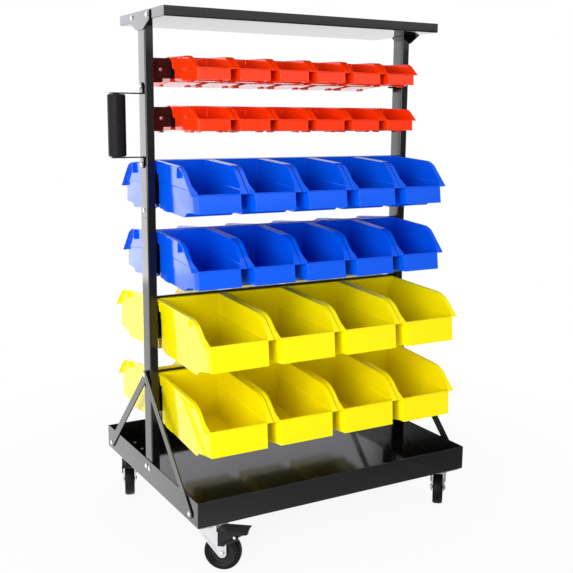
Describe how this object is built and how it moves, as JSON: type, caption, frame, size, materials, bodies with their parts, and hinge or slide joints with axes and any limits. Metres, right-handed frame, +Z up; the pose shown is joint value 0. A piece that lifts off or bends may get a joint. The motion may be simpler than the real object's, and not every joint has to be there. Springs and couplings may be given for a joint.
{
  "type": "mobile bin cart",
  "caption": "Mobile bin cart: steel trays and uprights with hanging red, blue and yellow bins on both faces, a push handle and braked swivel casters.",
  "frame": {"origin": "middle of the part's box, on the floor", "axes": "+Z up, the near face with its bins towards -Y, the push handle towards -X"},
  "size_m": [0.8082, 0.6176, 1.1625],
  "materials": {
    "coated_steel": "gloss",
    "red_plastic": "satin",
    "blue_plastic": "satin",
    "yellow_plastic": "satin",
    "zinc": "bright zinc plate",
    "black_plastic": "matte",
    "black_rubber": "matte"
  },
  "bodies": {
    "frame": {"base_tray": "coated_steel", "top_tray": "coated_steel", "upright_left_lower": "coated_steel", "upright_left_upper": "coated_steel", "upright_sleeve_left": "zinc", "top_bracket_left": "coated_steel", "brace_left_front": "coated_steel", "brace_left_rear": "coated_steel", "upright_right_lower": "coated_steel", "upright_right_upper": "coated_steel", "upright_sleeve_right": "zinc", "top_bracket_right": "coated_steel", "brace_right_front": "coated_steel", "brace_right_rear": "coated_steel", "handle_strap": "coated_steel", "handle_grip": "black_plastic", "rail_front_1": "coated_steel", "rail_front_2": "coated_steel", "rail_front_3": "coated_steel", "rail_front_4": "coated_steel", "rail_front_5": "coated_steel", "rail_front_6": "coated_steel", "rail_rear_1": "coated_steel", "rail_rear_2": "coated_steel", "rail_rear_3": "coated_steel", "rail_rear_4": "coated_steel", "rail_rear_5": "coated_steel", "rail_rear_6": "coated_steel", "caster_front_left_plate": "zinc", "caster_front_right_plate": "zinc", "caster_rear_left_plate": "zinc", "caster_rear_right_plate": "zinc"},
    "row_front_1": {"bins_front_1": "red_plastic"},
    "row_front_2": {"bins_front_2": "red_plastic"},
    "row_front_3": {"bins_front_3": "blue_plastic"},
    "row_front_4": {"bins_front_4": "blue_plastic"},
    "row_front_5": {"bins_front_5": "yellow_plastic"},
    "row_front_6": {"bins_front_6": "yellow_plastic"},
    "row_rear_1": {"bins_rear_1": "red_plastic"},
    "row_rear_2": {"bins_rear_2": "red_plastic"},
    "row_rear_3": {"bins_rear_3": "blue_plastic"},
    "row_rear_4": {"bins_rear_4": "blue_plastic"},
    "row_rear_5": {"bins_rear_5": "yellow_plastic"},
    "row_rear_6": {"bins_rear_6": "yellow_plastic"},
    "front_left_fork": {"caster_front_left_fork": "zinc", "caster_front_left_axle": "zinc"},
    "front_left_wheel": {"caster_front_left_wheel": "black_rubber"},
    "front_left_pedal": {"caster_front_left_pedal": "black_plastic"},
    "front_right_fork": {"caster_front_right_fork": "zinc", "caster_front_right_axle": "zinc"},
    "front_right_wheel": {"caster_front_right_wheel": "black_rubber"},
    "front_right_pedal": {"caster_front_right_pedal": "black_plastic"},
    "rear_left_fork": {"caster_rear_left_fork": "zinc", "caster_rear_left_axle": "zinc"},
    "rear_left_wheel": {"caster_rear_left_wheel": "black_rubber"},
    "rear_left_pedal": {"caster_rear_left_pedal": "black_plastic"},
    "rear_right_fork": {"caster_rear_right_fork": "zinc", "caster_rear_right_axle": "zinc"},
    "rear_right_wheel": {"caster_rear_right_wheel": "black_rubber"},
    "rear_right_pedal": {"caster_rear_right_pedal": "black_plastic"}
  },
  "joints": [
    {"name": "lift_front_1", "type": "slide", "parent": "frame", "child": "row_front_1", "axis": [0, 0, 1], "range_m": [0, 0.015]},
    {"name": "lift_front_2", "type": "slide", "parent": "frame", "child": "row_front_2", "axis": [0, 0, 1], "range_m": [0, 0.015]},
    {"name": "lift_front_3", "type": "slide", "parent": "frame", "child": "row_front_3", "axis": [0, 0, 1], "range_m": [0, 0.015]},
    {"name": "lift_front_4", "type": "slide", "parent": "frame", "child": "row_front_4", "axis": [0, 0, 1], "range_m": [0, 0.015]},
    {"name": "lift_front_5", "type": "slide", "parent": "frame", "child": "row_front_5", "axis": [0, 0, 1], "range_m": [0, 0.015]},
    {"name": "lift_front_6", "type": "slide", "parent": "frame", "child": "row_front_6", "axis": [0, 0, 1], "range_m": [0, 0.015]},
    {"name": "lift_rear_1", "type": "slide", "parent": "frame", "child": "row_rear_1", "axis": [0, 0, 1], "range_m": [0, 0.015]},
    {"name": "lift_rear_2", "type": "slide", "parent": "frame", "child": "row_rear_2", "axis": [0, 0, 1], "range_m": [0, 0.015]},
    {"name": "lift_rear_3", "type": "slide", "parent": "frame", "child": "row_rear_3", "axis": [0, 0, 1], "range_m": [0, 0.015]},
    {"name": "lift_rear_4", "type": "slide", "parent": "frame", "child": "row_rear_4", "axis": [0, 0, 1], "range_m": [0, 0.015]},
    {"name": "lift_rear_5", "type": "slide", "parent": "frame", "child": "row_rear_5", "axis": [0, 0, 1], "range_m": [0, 0.015]},
    {"name": "lift_rear_6", "type": "slide", "parent": "frame", "child": "row_rear_6", "axis": [0, 0, 1], "range_m": [0, 0.015]},
    {"name": "front_left_swivel", "type": "hinge", "parent": "frame", "child": "front_left_fork", "pos_m": [-0.28921, -0.236, 0.1], "axis": [0, 0, 1], "continuous": true},
    {"name": "front_left_roll", "type": "hinge", "parent": "front_left_fork", "child": "front_left_wheel", "pos_m": [-0.26275, -0.25735, 0.04], "axis": [0.628, 0.7782, 0], "continuous": true},
    {"name": "front_left_brake", "type": "hinge", "parent": "front_left_fork", "child": "front_left_pedal", "pos_m": [-0.24096, -0.27493, 0.079], "axis": [0.628, 0.7782, 0], "range_deg": [0, 12]},
    {"name": "front_right_swivel", "type": "hinge", "parent": "frame", "child": "front_right_fork", "pos_m": [0.33079, -0.236, 0.1], "axis": [0, 0, 1], "continuous": true},
    {"name": "front_right_roll", "type": "hinge", "parent": "front_right_fork", "child": "front_right_wheel", "pos_m": [0.35237, -0.20973, 0.04], "axis": [-0.7727, 0.6347, 0], "continuous": true},
    {"name": "front_right_brake", "type": "hinge", "parent": "front_right_fork", "child": "front_right_pedal", "pos_m": [0.37014, -0.18809, 0.079], "axis": [-0.7727, 0.6347, 0], "range_deg": [0, 12]},
    {"name": "rear_left_swivel", "type": "hinge", "parent": "frame", "child": "rear_left_fork", "pos_m": [-0.28921, 0.236, 0.1], "axis": [0, 0, 1], "continuous": true},
    {"name": "rear_left_roll", "type": "hinge", "parent": "rear_left_fork", "child": "rear_left_wheel", "pos_m": [-0.30062, 0.20397, 0.04], "axis": [0.9421, -0.3355, 0], "continuous": true},
    {"name": "rear_left_brake", "type": "hinge", "parent": "rear_left_fork", "child": "rear_left_pedal", "pos_m": [-0.31001, 0.17759, 0.079], "axis": [0.9421, -0.3355, 0], "range_deg": [0, 12]},
    {"name": "rear_right_swivel", "type": "hinge", "parent": "frame", "child": "rear_right_fork", "pos_m": [0.33079, 0.236, 0.1], "axis": [0, 0, 1], "continuous": true},
    {"name": "rear_right_roll", "type": "hinge", "parent": "rear_right_fork", "child": "rear_right_wheel", "pos_m": [0.30433, 0.25735, 0.04], "axis": [-0.628, -0.7782, 0], "continuous": true},
    {"name": "rear_right_brake", "type": "hinge", "parent": "rear_right_fork", "child": "rear_right_pedal", "pos_m": [0.28254, 0.27493, 0.079], "axis": [-0.628, -0.7782, 0], "range_deg": [0, 12]}
  ]
}
